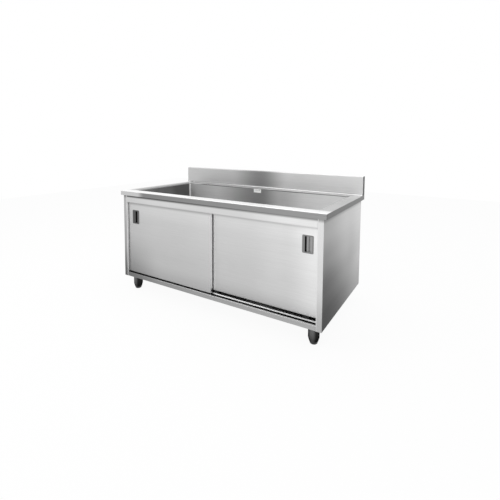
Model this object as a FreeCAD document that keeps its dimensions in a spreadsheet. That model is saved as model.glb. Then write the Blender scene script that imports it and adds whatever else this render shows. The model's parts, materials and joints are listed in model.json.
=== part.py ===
import FreeCAD, Part
import math
import os
import re

import Sketcher

# Stainless steel sink unit: a one-bowl worktop with an upstand at the rear, standing on a sheet steel
# cabinet with two sliding doors and four adjustable feet.
# Origin on the floor under the middle of the worktop, +X to the right, +Y to the rear, +Z up. Millimetres.

SIZES = {
    # Overall sizes
    "unit_width": 1800,  # worktop, left to right
    "unit_depth": 900,  # worktop, front to rear
    "worktop_height": 850,  # floor to the top of the worktop
    "guard_height": 150,  # upstand above the worktop
    "guard_depth": 45,  # upstand, front to rear
    "sheet": 1.5,  # sheet of worktop, bowl and cabinet
    "edge_bend": 3,  # outside radius of the folded edges
    "fold_gap": 0.3,  # clearance between folded pieces that do not touch
    # Worktop
    "deck_edge": 36,  # turned-down edge of the worktop
    "deck_lip": 32,  # return under the worktop edge, from the outside face
    "front_rim": 90,  # worktop edge to bowl, front
    "side_rim": 80,  # worktop edge to bowl, sides
    "rear_rim": 70,  # bowl to upstand
    "rim_collar": 12,  # height of the collar round the bowl opening
    "rim_bend": 5,  # rounding from the worktop into the bowl
    "guard_foot": 12,  # height of the worktop's upturn under the upstand
    "guard_cove": 6,  # cove between worktop and upstand
    "guard_flange": 20,  # flange on which the upstand rests at the rear
    # Bowl
    "bowl_depth": 300,  # worktop to bowl floor
    "bowl_corner": 15,  # inside radius of the bowl's upright corners
    "bowl_bend": 15,  # inside radius round the bowl floor
    "fall_margin": 80,  # level band between wall and fall
    "fall_drop": 12,  # fall of the floor to the waste
    "plateau_half": 65,  # half of the level square round the waste
    "bearer_inset": 48,  # bowl wall to the middle of a bearer
    "bearer_web": 30,  # bearer, width of the lower web
    "bearer_height": 40,  # bearer, height
    "bearer_flange": 15,  # bearer, width of each flange
    # Waste and overflow
    "drain_hole": 46,  # radius of the hole in the bowl floor
    "drain_gap": 0.5,  # radial gap of the waste cup in the bowl floor
    "flange_radius": 57,  # waste flange, outside radius
    "flange_thick": 2,  # waste flange, thickness
    "cup_wall": 3.5,  # wall of the waste cup
    "cup_depth": 60,  # waste cup below the bowl floor
    "spigot_radius": 22,  # waste spigot, outside radius
    "spigot_bore": 18,  # waste spigot, bore radius
    "spigot_length": 28,  # waste spigot, length
    "gasket_thick": 3,  # seal under the bowl floor
    "gasket_radius": 60,  # seal, outside radius
    "nut_height": 10,  # waste locknut, height
    "nut_radius": 58,  # waste locknut, outside radius
    "nut_lug": 5,  # waste locknut, reach of the lugs
    "nut_lugs": 6,  # waste locknut, number of lugs
    "overflow_x": -19,  # overflow from the middle of the unit
    "overflow_drop": 25,  # worktop to the middle of the overflow
    "overflow_width": 75,  # overflow cover, width
    "overflow_height": 32,  # overflow cover, height
    "overflow_thick": 1.5,  # overflow cover, thickness
    "overflow_slot_width": 9,  # overflow slot, width
    "overflow_slot_height": 4,  # overflow slot, height
    "overflow_slots": 4,  # number of overflow slots
    "overflow_pitch": 14,  # spacing of the overflow slots
    "overflow_box_depth": 28,  # overflow box behind the bowl wall
    "overflow_box_height": 46,  # overflow box, height
    "overflow_port_drop": 42,  # bowl floor plateau to the overflow pipe
    "pipe_radius": 10,  # overflow pipe, outside radius
    "pipe_wall": 1.5,  # overflow pipe, wall
    "pipe_bend": 35,  # overflow pipe, bend radius
    # Trap under the waste
    "trap_neck": 30,  # trap, radius of the inlet nut
    "trap_neck_height": 22,  # trap, height of the inlet nut
    "trap_radius": 31,  # trap body, outside radius
    "trap_wall": 3,  # trap, wall
    "trap_height": 74,  # trap body, height
    "trap_cup_radius": 34,  # trap cup, radius
    "trap_cup_height": 52,  # trap cup, height
    "trap_rib": 3,  # trap cup, reach of the grip ribs
    "trap_ribs": 12,  # trap cup, number of grip ribs
    "outlet_drop": 30,  # top of the trap body to the middle of the outlet
    "outlet_radius": 20,  # outlet pipe, outside radius
    "outlet_wall": 2,  # outlet pipe, wall
    "outlet_spigot": 40,  # free end of the outlet pipe, up to its stop bead
    "outlet_bead": 2.5,  # stop bead, its width and its height above the pipe
    "outlet_socket": 22,  # trap to the end of the outlet socket
    "outlet_clear": 0.2,  # radial clearance of the outlet pipe in its socket
    "outlet_inset": 10,  # worktop rear edge to the end of the outlet pipe
    "service_width": 160,  # service opening in the rear panel, width
    "service_height": 120,  # service opening in the rear panel, height
    "service_hem": 8,  # folded edge round the service opening
    # Strainer basket
    "basket_radius": 38,  # basket, outside radius of the cup
    "basket_rim": 48,  # basket, outside radius of the rim
    "basket_wall": 1.5,  # basket, wall
    "basket_depth": 38,  # basket, depth
    "basket_slots": 8,  # basket, slots in the wall
    "basket_slot_width": 4,  # basket, width of a slot
    "basket_slot_height": 22,  # basket, height of a slot
    "knob_radius": 9,  # basket knob, radius
    "knob_height": 5,  # basket knob, height
    "knob_stem": 4,  # basket knob, radius of the stem
    "lift_gap": 0.3,  # gap under a piece that lifts out
    # Cabinet
    "leg_height": 122,  # floor to the underside of the cabinet
    "front_overhang": 12,  # worktop beyond the cabinet front
    "side_overhang": 22,  # worktop beyond the cabinet side
    "rear_setback": 3,  # worktop beyond the cabinet rear
    "stile_width": 38,  # front fold of the side panel
    "stile_return": 72,  # inner fold of the side panel, behind the front
    "rear_fold": 25,  # rear fold of the side panel
    "head_height": 60,  # top rail of the front
    "head_flange": 66,  # flange under the worktop, behind the front
    "head_return": 11,  # lower fold of the top rail
    "base_rail_height": 34,  # bottom rail of the front
    "rail_ledge": 11,  # top of the bottom rail, front to rear
    "rail_return": 18,  # lower fold of the bottom rail
    "plate_thick": 4,  # leg plate, thickness
    "panel_flange": 25,  # flanges of the rear panel
    "channel_width": 76,  # channel under the base shelf, width
    "channel_lip": 12,  # channel under the base shelf, lips
    # Door tracks
    "door_setback": 18,  # front face of the cabinet to the front door
    "door_thick": 20,  # door, thickness
    "lane_pitch": 30,  # front door to rear door, middle to middle
    "track_height": 8,  # bottom track above the shelf
    "track_floor": 1.5,  # bottom track under the grooves
    "groove_width": 12,  # groove of the bottom track
    "ridge_width": 4,  # ridge between the grooves, front to rear
    "ridge_height": 9,  # ridge between the grooves, above the track
    "track_lip": 2,  # bottom track in front of the front groove
    "track_margin": 12,  # bottom track behind the rear groove's middle
    "rail_sheet": 1.5,  # sheet of the top track
    "rail_depth": 23.5,  # top track, flange to running ledge
    "rail_front": 9,  # middle of a lane to the front of its web
    "rail_rear": 6,  # middle of a lane to the rear of its ledge
    "rail_lip": 3,  # lip on the running ledge
    # Doors
    "door_edge_gap": 5,  # door edge to the side fold when shut
    "door_overlap": 58,  # overlap of the shut doors in the middle
    "door_tuck": 18,  # door behind the top rail
    "door_foot_gap": 6,  # front door above the bottom track
    "rear_door_lift": 16,  # foot of the rear door above that of the front door
    "door_sheet": 1.2,  # sheet of the doors
    "door_bend": 2,  # radius of the door edges
    "back_flange": 8,  # fold of the door's inner pan
    "guide_length": 40,  # bottom guide, length
    "guide_width": 8,  # bottom guide, width
    "guide_dip": 5,  # bottom guide, reach into the groove
    "guide_inset": 80,  # door edge to the middle of a guide
    "hanger_inset": 90,  # door edge to the middle of a hanger
    "hanger_width": 40,  # hanger, width
    "hanger_thick": 2,  # hanger, thickness
    "hanger_foot": 16,  # hanger foot, front to rear
    "hanger_head": 7,  # hanger above the axle
    "roller_radius": 10,  # roller, radius
    "roller_width": 8,  # roller, width
    "roller_bevel": 0.8,  # bevel of the roller's running edges
    "roller_hub": 4.5,  # roller hub and axle collar, radius
    "axle_radius": 3,  # roller axle, radius
    "axle_gap": 0.08,  # radial running clearance on the axle
    "running_gap": 0.3,  # roller above the running ledge
    "buffer_radius": 6,  # door buffer, radius
    "buffer_drop": 310,  # door top to the middle of the buffers
    # Flush pulls
    "pull_width": 76,  # pull flange, width
    "pull_height": 115,  # pull flange, height
    "pull_corner": 8,  # corner radius of the pull flange
    "pull_sheet": 1.2,  # sheet of the pull
    "pull_lip": 18,  # flange beside the finger edge
    "pull_edge": 9,  # flange at the shallow edge
    "pull_end": 8,  # flange above and below the hollow
    "pull_depth": 13,  # depth of the hollow
    "pull_undercut": 9,  # hollow behind the finger edge
    "pull_clear": 0.5,  # clearance of the pull in the door skin
    "left_pull_inset": 83,  # left door edge to the middle of its pull
    "right_pull_inset": 73,  # right door edge to the middle of its pull
    "pull_drop": 215,  # worktop top to the middle of the pulls
    # Legs and feet
    "leg_inset": 76,  # cabinet face to the middle of a leg
    "rear_leg_inset": 112,  # cabinet side to the middle of a rear leg
    "leg_radius": 36.5,  # leg tube, radius
    "leg_wall": 2,  # leg tube, wall
    "leg_tip_radius": 29.5,  # radius at the narrow end of the leg
    "leg_cone_top": 42,  # floor to the top of the leg's cone
    "leg_tip_low": 18,  # floor to the narrow end of the leg
    "leg_boss": 15,  # threaded boss in the leg's end
    "leg_plate_half": 37.5,  # half of the leg plate
    "foot_radius": 24.5,  # foot, radius at the floor
    "foot_shoulder": 28.5,  # foot, radius under the leg
    "foot_bevel": 4,  # bevel of the foot's lower edge
    "stem_radius": 6,  # foot stem, radius
    "stem_gap": 0.3,  # radial gap of the stem in the boss
    "stem_length": 62,  # foot stem above the foot
    "bolt_offset": 31.5,  # middle of the leg to a bolt
    "bolt_radius": 3,  # bolt, radius
    "bolt_hole": 3.3,  # bolt hole, radius
    "bolt_head": 5.5,  # bolt head, corner radius
    "bolt_head_height": 4,  # bolt head, height
    "bolt_end": 3,  # bolt beyond the channel's web
}

doc = FreeCAD.newDocument("SinkUnit")
sheet = doc.addObject("Spreadsheet::Sheet", "Dims")
for row, (alias, number) in enumerate(SIZES.items(), 1):
    sheet.set("A%d" % row, alias)
    sheet.set("B%d" % row, str(number))
    sheet.setAlias("B%d" % row, alias)


# Expressions on the sheet's values: every place below is worked out from the driving dimensions.
HALF_WIDTH = "(unit_width / 2)"
FRONT = "(-unit_depth / 2)"
REAR = "(unit_depth / 2)"
DECK_TOP = "worktop_height"
DECK_LOW = "(worktop_height - deck_edge)"
DECK_INNER = "(worktop_height - sheet)"
GUARD_FACE = "(unit_depth / 2 - guard_depth)"
GUARD_TOP = "(worktop_height + guard_height)"
GUARD_FOOT = "(worktop_height + guard_foot)"
COLLAR_LOW = "(worktop_height - rim_collar)"

BOWL_X = "(unit_width / 2 - side_rim)"
BOWL_FRONT = "(-unit_depth / 2 + front_rim)"
BOWL_REAR = "(unit_depth / 2 - guard_depth - rear_rim)"
BOWL_FLOOR = "(worktop_height - bowl_depth)"
BOWL_UNDER = "(worktop_height - bowl_depth - sheet)"
PLATEAU = "(worktop_height - bowl_depth - fall_drop)"
DRAIN_Y = "((front_rim - guard_depth - rear_rim) / 2)"

CASE_X = "(unit_width / 2 - side_overhang)"
CASE_INNER = "(unit_width / 2 - side_overhang - sheet)"
CASE_FRONT = "(-unit_depth / 2 + front_overhang)"
CASE_REAR = "(unit_depth / 2 - rear_setback)"
OPENING_X = "(unit_width / 2 - side_overhang - stile_width)"
STILE_BACK = "(-unit_depth / 2 + front_overhang + stile_return)"
HEAD_LOW = "(worktop_height - deck_edge - head_height)"
BASE_LOW = "(leg_height + plate_thick)"
TRACK_TOP = "(leg_height + base_rail_height)"
SHELF_TOP = "(leg_height + base_rail_height - track_height)"
SHELF_UNDER = "(leg_height + base_rail_height - track_height - sheet)"

LANE_FRONT = "(-unit_depth / 2 + front_overhang + door_setback + door_thick / 2)"
LANE_REAR = "(-unit_depth / 2 + front_overhang + door_setback + door_thick / 2 + lane_pitch)"
RAIL_TOP = "(worktop_height - deck_edge - sheet)"
RAIL_LEDGE = "(worktop_height - deck_edge - sheet - rail_depth)"
AXLE_Z = "(worktop_height - deck_edge - sheet - rail_depth + running_gap + roller_radius)"
FRONT_DOOR_LOW = "(leg_height + base_rail_height + door_foot_gap)"
REAR_DOOR_LOW = "(leg_height + base_rail_height + door_foot_gap + rear_door_lift)"
DOOR_TOP = "(worktop_height - deck_edge - head_height + door_tuck)"
DOOR_EDGE = "(unit_width / 2 - side_overhang - stile_width - door_edge_gap)"
PULL_Z = "(worktop_height - pull_drop)"

FRONT_LEG_X = "(unit_width / 2 - side_overhang - leg_inset)"
REAR_LEG_X = "(unit_width / 2 - side_overhang - rear_leg_inset)"
LEG_FRONT = "(-unit_depth / 2 + front_overhang + leg_inset)"
LEG_REAR = "(unit_depth / 2 - rear_setback - leg_inset)"

CUP_LOW = "(worktop_height - bowl_depth - fall_drop - cup_depth)"
SPIGOT_LOW = "(worktop_height - bowl_depth - fall_drop - cup_depth - spigot_length)"
TRAP_TOP = "(worktop_height - bowl_depth - fall_drop - cup_depth - trap_neck_height / 2)"
TRAP_LOW = "(worktop_height - bowl_depth - fall_drop - cup_depth - trap_neck_height / 2 - trap_height)"
OUTLET_Z = "(worktop_height - bowl_depth - fall_drop - cup_depth - trap_neck_height / 2 - outlet_drop)"
OVERFLOW_Z = "(worktop_height - overflow_drop)"
PIPE_Y = "(unit_depth / 2 - guard_depth - rear_rim + sheet + overflow_box_depth / 2)"
PIPE_Z = "(worktop_height - bowl_depth - fall_drop - overflow_port_drop)"


def bind(text):
    """Point every dimension named in an expression at its cell in the sheet."""
    def cell(word):
        name = word.group(0)
        return "Dims." + name if name in SIZES else name

    return re.sub(r"[a-z_]+", cell, str(text))


def negative(text):
    return "(-%s)" % text


def signed(side, text):
    """The expression itself on the right, its negative on the left."""
    return text if side > 0 else negative(text)


def set_sizes(thing, **values):
    for name, text in values.items():
        thing.setExpression(name, bind(text))


def set_place(thing, along_x, along_y, along_z):
    for axis, text in (("x", along_x), ("y", along_y), ("z", along_z)):
        thing.setExpression(".Placement.Base." + axis, bind(text))


# Sub-parts

parts = []


def keep(thing, label):
    """Name a finished sub-part and put it on the list that is written out."""
    thing.Label = label
    parts.append(thing)
    return thing


def new_body(name):
    return doc.addObject("PartDesign::Body", name + "_body")


def new_sketch(body, role, offset="0"):
    """An empty sketch on one of the body's own planes, moved along that plane's normal."""
    sketch = body.newObject("Sketcher::SketchObject", body.Name + "_sketch")
    plane = [item for item in body.Origin.OriginFeatures if item.Role == role][0]
    sketch.AttachmentSupport = (plane, [""])
    sketch.MapMode = "FlatFace"
    sketch.setExpression(".AttachmentOffset.Base.z", bind(offset))
    return sketch


def place_point(sketch, item, point, along_x, along_y):
    for kind, text in (("DistanceX", along_x), ("DistanceY", along_y)):
        index = sketch.addConstraint(Sketcher.Constraint(kind, -1, 1, item, point, 1.0))
        sketch.setExpression("Constraints[%d]" % index, bind(text))


def add_outline(sketch, points):
    """A closed outline of straight lines through the given corners."""
    first = sketch.GeometryCount
    count = len(points)
    corners = []
    for index in range(count):
        turn = 2 * math.pi * index / count
        corners.append(FreeCAD.Vector(100 * math.cos(turn), 100 * math.sin(turn), 0))
    lines = [Part.LineSegment(corners[index], corners[(index + 1) % count]) for index in range(count)]
    sketch.addGeometry(lines, False)
    joins = []
    for index in range(count):
        joins.append(Sketcher.Constraint("Coincident", first + index, 2, first + (index + 1) % count, 1))
    sketch.addConstraint(joins)
    for index, (along_x, along_y) in enumerate(points):
        place_point(sketch, first + index, 1, along_x, along_y)


def add_rectangle(sketch, left, right, low, high):
    add_outline(sketch, [(left, low), (right, low), (right, high), (left, high)])


def add_circle(sketch, along_x, along_y, radius):
    circle = sketch.addGeometry(Part.Circle(FreeCAD.Vector(1, 1, 0), FreeCAD.Vector(0, 0, 1), 5), False)
    index = sketch.addConstraint(Sketcher.Constraint("Radius", circle, 5.0))
    sketch.setExpression("Constraints[%d]" % index, bind(radius))
    place_point(sketch, circle, 3, along_x, along_y)


def add_pad(body, sketch, length, flip=False):
    pad = body.newObject("PartDesign::Pad", body.Name + "_pad")
    pad.Profile = sketch
    pad.Reversed = flip
    set_sizes(pad, Length=length)
    return pad


def add_pocket(body, sketch, length, flip=False):
    """Cut against the sketch's normal, or along it when flipped, and make sure that it cuts."""
    doc.recompute()
    before = body.Shape.Volume
    pocket = body.newObject("PartDesign::Pocket", body.Name + "_pocket")
    pocket.Profile = sketch
    pocket.Reversed = flip
    set_sizes(pocket, Length=length)
    doc.recompute()
    if body.Shape.Volume > before - 0.01:
        raise RuntimeError("a pocket of %s cuts nothing" % body.Name)
    return pocket


def add_pocket_forward(body, sketch, length):
    """Cut from a sketch on an upright plane towards the front of the unit."""
    return add_pocket(body, sketch, length, flip=True)


def add_fillet(body, radius, pick):
    """Round the edges of the body that pick() accepts."""
    doc.recompute()
    base = body.Tip
    chosen = []
    for index, edge in enumerate(base.Shape.Edges):
        if pick(edge):
            chosen.append("Edge%d" % (index + 1))
    if not chosen:
        raise RuntimeError("no edge to round on %s" % body.Name)
    fillet = body.newObject("PartDesign::Fillet", body.Name + "_fillet")
    fillet.Base = (base, chosen)
    set_sizes(fillet, Radius=radius)
    return fillet


def add_turned(body, points, role="XZ_Plane"):
    """Turn an outline of radius and height round the sketch's upright axis."""
    sketch = new_sketch(body, role)
    add_outline(sketch, points)
    turned = body.newObject("PartDesign::Revolution", body.Name + "_turned")
    turned.Profile = sketch
    turned.ReferenceAxis = (sketch, ["V_Axis"])
    turned.Angle = 360
    return turned


def add_polar(body, feature, count):
    """Repeat a feature round the body's upright axis."""
    axis = [item for item in body.Origin.OriginFeatures if item.Role == "Z_Axis"][0]
    polar = body.newObject("PartDesign::PolarPattern", body.Name + "_polar")
    polar.Originals = [feature]
    polar.Axis = (axis, [""])
    polar.Angle = 360
    set_sizes(polar, Occurrences=count)
    body.Tip = polar
    return polar


def box(name, left, right, front, rear, low, high):
    """A block between six planes."""
    block = doc.addObject("Part::Box", name)
    width = "(%s) - (%s)" % (right, left)
    depth = "(%s) - (%s)" % (rear, front)
    height = "(%s) - (%s)" % (high, low)
    set_sizes(block, Length=width, Width=depth, Height=height)
    set_place(block, left, front, low)
    return block


AXIS_TURNS = {
    "X": FreeCAD.Rotation(FreeCAD.Vector(0, 1, 0), 90),
    "Y": FreeCAD.Rotation(FreeCAD.Vector(1, 0, 0), -90),
    "Z": FreeCAD.Rotation(),
}


def rod(name, axis, radius, length, start):
    """A round rod from its start point along +X, +Y or +Z."""
    cylinder = doc.addObject("Part::Cylinder", name)
    cylinder.Placement = FreeCAD.Placement(FreeCAD.Vector(), AXIS_TURNS[axis])
    set_sizes(cylinder, Radius=radius, Height=length)
    set_place(cylinder, *start)
    return cylinder


def fuse(name, things):
    joined = doc.addObject("Part::MultiFuse", name)
    joined.Shapes = things
    return joined


def cut(name, base, tool):
    result = doc.addObject("Part::Cut", name)
    result.Base = base
    result.Tool = tool
    return result


def group(name, things):
    """Separate solids of one kind that share a node."""
    together = doc.addObject("Part::Compound", name)
    together.Links = things
    return together


# Picking edges by where they lie on the shape

def runs_along(edge, axis):
    """True for a straight edge parallel to the axis 0, 1 or 2."""
    if edge.Length < 0.001 or edge.Curve.TypeId != "Part::GeomLine":
        return False
    direction = edge.Curve.Direction
    return abs(abs(direction[axis]) - 1) < 1e-6


def middle(edge):
    return edge.BoundBox.Center


def near(first, second):
    return abs(first - second) < 0.01


def value(text):
    """The present value of an expression."""
    probe = doc.addObject("Part::Vertex", "probe")
    set_sizes(probe, X=text)
    probe.recompute()
    reading = probe.X.Value
    doc.removeObject(probe.Name)
    return reading


# Worktop

def make_worktop():
    body = new_body("worktop")
    slab = new_sketch(body, "XY_Plane", DECK_LOW)
    add_rectangle(slab, negative(HALF_WIDTH), HALF_WIDTH, FRONT, REAR)
    add_pad(body, slab, "deck_edge")

    # Front corners and the three open edges are folded and dressed to one radius.
    doc.recompute()
    bounds = body.Shape.BoundBox

    def open_edge(edge):
        spot = middle(edge)
        corner = runs_along(edge, 2) and near(spot.y, bounds.YMin)
        front = runs_along(edge, 0) and near(spot.y, bounds.YMin) and near(spot.z, bounds.ZMax)
        side = runs_along(edge, 1) and near(spot.z, bounds.ZMax)
        return corner or front or side

    add_fillet(body, "edge_bend", open_edge)

    upturn = new_sketch(body, "XY_Plane", DECK_TOP)
    end = "(unit_width / 2 - edge_bend - fold_gap)"
    add_rectangle(upturn, negative(end), end, GUARD_FACE, GUARD_FACE + " + sheet")
    add_pad(body, upturn, "guard_foot")
    top = bounds.ZMax
    face = value(GUARD_FACE)
    add_fillet(body, "guard_cove", lambda edge: runs_along(edge, 0)
               and near(middle(edge).z, top) and near(middle(edge).y, face))

    opening = new_sketch(body, "XY_Plane", DECK_TOP)
    add_rectangle(opening, negative(BOWL_X), BOWL_X, BOWL_FRONT, BOWL_REAR)
    add_pocket(body, opening, "deck_edge")
    reach = value(BOWL_X)
    add_fillet(body, "bowl_corner", lambda edge: runs_along(edge, 2)
               and near(abs(middle(edge).x), reach))
    rim = [value(BOWL_FRONT), value(BOWL_REAR)]

    def rim_edge(edge):
        spot = edge.BoundBox
        level = near(spot.ZMin, top) and near(spot.ZMax, top)
        inside = spot.YMin > rim[0] - 0.1 and spot.YMax < rim[1] + 0.1
        return level and inside and max(abs(spot.XMin), abs(spot.XMax)) < reach + 0.1

    add_fillet(body, "rim_bend", rim_edge)

    # Hollow between the skin, the collar and the turned-down edge, then the open underside.
    hollow = new_sketch(body, "XY_Plane", DECK_INNER)
    skirt_x = "(unit_width / 2 - sheet)"
    add_rectangle(hollow, negative(skirt_x), skirt_x, FRONT + " + sheet", REAR + " - sheet")
    collar_x = BOWL_X + " + sheet"
    add_rectangle(hollow, negative("(%s)" % collar_x), collar_x,
                  BOWL_FRONT + " - sheet", BOWL_REAR + " + sheet")
    add_pocket(body, hollow, "deck_edge - 2 * sheet")
    underside = new_sketch(body, "XY_Plane", COLLAR_LOW)
    lip_x = "(unit_width / 2 - deck_lip)"
    add_rectangle(underside, negative(lip_x), lip_x, FRONT + " + deck_lip", REAR + " - deck_lip")
    add_pocket(body, underside, "deck_edge - rim_collar")
    keep(body, "worktop_deck")


def make_upstand():
    body = new_body("upstand")
    end = "(unit_width / 2 - sheet)"
    section = new_sketch(body, "YZ_Plane", negative(end))
    add_outline(section, [
        (GUARD_FACE, GUARD_FOOT),
        (GUARD_FACE, GUARD_TOP),
        (REAR, GUARD_TOP),
        (REAR, DECK_TOP),
        (REAR + " - guard_flange", DECK_TOP),
        (REAR + " - guard_flange", DECK_TOP + " + sheet"),
        (REAR + " - sheet", DECK_TOP + " + sheet"),
        (REAR + " - sheet", GUARD_TOP + " - sheet"),
        (GUARD_FACE + " + sheet", GUARD_TOP + " - sheet"),
        (GUARD_FACE + " + sheet", GUARD_FOOT),
    ])
    add_pad(body, section, "2 * " + end)
    doc.recompute()
    high = body.Shape.BoundBox.ZMax
    add_fillet(body, "edge_bend", lambda edge: runs_along(edge, 0) and near(middle(edge).z, high))
    keep(body, "upstand")
    for side, word in ((-1, "left"), (1, "right")):
        cap = new_body("upstand_cap_" + word)
        start = end if side > 0 else negative(HALF_WIDTH)
        face = new_sketch(cap, "YZ_Plane", start)
        add_rectangle(face, GUARD_FACE, REAR, DECK_TOP, GUARD_TOP)
        add_pad(cap, face, "sheet")
        doc.recompute()
        add_fillet(cap, "edge_bend", lambda edge: runs_along(edge, 0) and near(middle(edge).z, high))
        keep(cap, "upstand_cap_" + word)


# Bowl

def make_bowl_form(name, grow, low, bend):
    """The bowl as a solid: straight walls, rounded corners and a four-sided fall to the waste."""
    body = new_body(name)
    outline = new_sketch(body, "XY_Plane", low)
    add_rectangle(outline, "(-%s - %s)" % (BOWL_X, grow), "(%s + %s)" % (BOWL_X, grow),
                  "(%s - %s)" % (BOWL_FRONT, grow), "(%s + %s)" % (BOWL_REAR, grow))
    add_pad(body, outline, "%s - %s" % (COLLAR_LOW, low))
    add_fillet(body, bend, lambda edge: runs_along(edge, 2))
    doc.recompute()
    floor = body.Shape.BoundBox.ZMin
    add_fillet(body, bend, lambda edge: edge.BoundBox.ZMax < floor + 0.01)

    band = new_sketch(body, "XY_Plane", low)
    add_rectangle(band, "(-%s + fall_margin)" % BOWL_X, "(%s - fall_margin)" % BOWL_X,
                  "(%s + fall_margin)" % BOWL_FRONT, "(%s - fall_margin)" % BOWL_REAR)
    plateau = new_sketch(body, "XY_Plane", "%s - fall_drop" % low)
    add_rectangle(plateau, "(-plateau_half)", "plateau_half", DRAIN_Y + " - plateau_half",
                  DRAIN_Y + " + plateau_half")
    fall = body.newObject("PartDesign::AdditiveLoft", name + "_fall")
    fall.Profile = band
    fall.Sections = [plateau]
    fall.Ruled = True
    return body


def make_bowl():
    outside = make_bowl_form("bowl_outside", "sheet", BOWL_UNDER, "bowl_bend + sheet")
    inside = make_bowl_form("bowl_inside", "0", BOWL_FLOOR, "bowl_bend")
    hole = rod("drain_hole", "Z", "drain_hole", "fall_drop + bowl_bend",
               ("0", DRAIN_Y, PLATEAU + " - bowl_bend"))
    half = "(overflow_width / 2 - overflow_slot_width)"
    port = box("overflow_port", "overflow_x - " + half, "overflow_x + " + half,
               BOWL_REAR + " - sheet", BOWL_REAR + " + 2 * sheet",
               OVERFLOW_Z + " - overflow_height / 2", COLLAR_LOW + " - sheet")
    keep(cut("bowl", outside, fuse("bowl_hollow", [inside, hole, port])), "bowl")


def make_bearer(name, along_y):
    """A hat-shaped bearer under the level band of the bowl floor."""
    body = new_body(name)
    low = "(%s - bearer_height)" % BOWL_UNDER
    web = "bearer_web / 2"
    wide = "bearer_web / 2 + bearer_flange"
    section = new_sketch(body, "YZ_Plane", negative(CASE_INNER))
    add_outline(section, [
        ("%s - (%s)" % (along_y, wide), BOWL_UNDER),
        ("%s - (%s)" % (along_y, wide), BOWL_UNDER + " - sheet"),
        ("%s - %s" % (along_y, web), BOWL_UNDER + " - sheet"),
        ("%s - %s" % (along_y, web), low),
        ("%s + %s" % (along_y, web), low),
        ("%s + %s" % (along_y, web), BOWL_UNDER + " - sheet"),
        ("%s + %s" % (along_y, wide), BOWL_UNDER + " - sheet"),
        ("%s + %s" % (along_y, wide), BOWL_UNDER),
        ("%s + %s - sheet" % (along_y, web), BOWL_UNDER),
        ("%s + %s - sheet" % (along_y, web), low + " + sheet"),
        ("%s - %s + sheet" % (along_y, web), low + " + sheet"),
        ("%s - %s + sheet" % (along_y, web), BOWL_UNDER),
    ])
    add_pad(body, section, "2 * " + CASE_INNER)
    keep(body, name)


# Waste, trap and overflow

def make_waste():
    body = new_body("waste_cup")
    cup = "(drain_hole - drain_gap)"
    bore = "(drain_hole - drain_gap - cup_wall)"
    add_turned(body, [
        (bore, PLATEAU + " + flange_thick"),
        ("flange_radius", PLATEAU + " + flange_thick"),
        ("flange_radius", PLATEAU),
        (cup, PLATEAU),
        (cup, CUP_LOW),
        ("spigot_radius", CUP_LOW),
        ("spigot_radius", SPIGOT_LOW),
        ("spigot_bore", SPIGOT_LOW),
        ("spigot_bore", CUP_LOW + " + cup_wall"),
        (bore, CUP_LOW + " + cup_wall"),
    ])
    port = new_sketch(body, "XZ_Plane", "-drain_hole")
    add_circle(port, "overflow_x", PIPE_Z, "pipe_radius - pipe_wall")
    add_pocket_forward(body, port, "drain_hole")
    set_place(body, "0", DRAIN_Y, "0")
    keep(body, "waste_cup")

    gasket = new_body("waste_gasket")
    seat = PLATEAU + " - sheet"
    add_turned(gasket, [
        ("drain_hole", seat),
        ("gasket_radius", seat),
        ("gasket_radius", seat + " - gasket_thick"),
        ("drain_hole", seat + " - gasket_thick"),
    ])
    set_place(gasket, "0", DRAIN_Y, "0")
    keep(gasket, "waste_gasket")

    nut = new_body("waste_locknut")
    high = "(%s - gasket_thick)" % seat
    add_turned(nut, [
        ("drain_hole", high),
        ("nut_radius", high),
        ("nut_radius", high + " - nut_height"),
        ("drain_hole", high + " - nut_height"),
    ])
    lug = new_sketch(nut, "XY_Plane", high + " - nut_height")
    add_rectangle(lug, "nut_radius - nut_lug", "nut_radius + nut_lug", "-nut_lug", "nut_lug")
    add_polar(nut, add_pad(nut, lug, "nut_height"), "nut_lugs")
    set_place(nut, "0", DRAIN_Y, "0")
    keep(nut, "waste_locknut")


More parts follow.
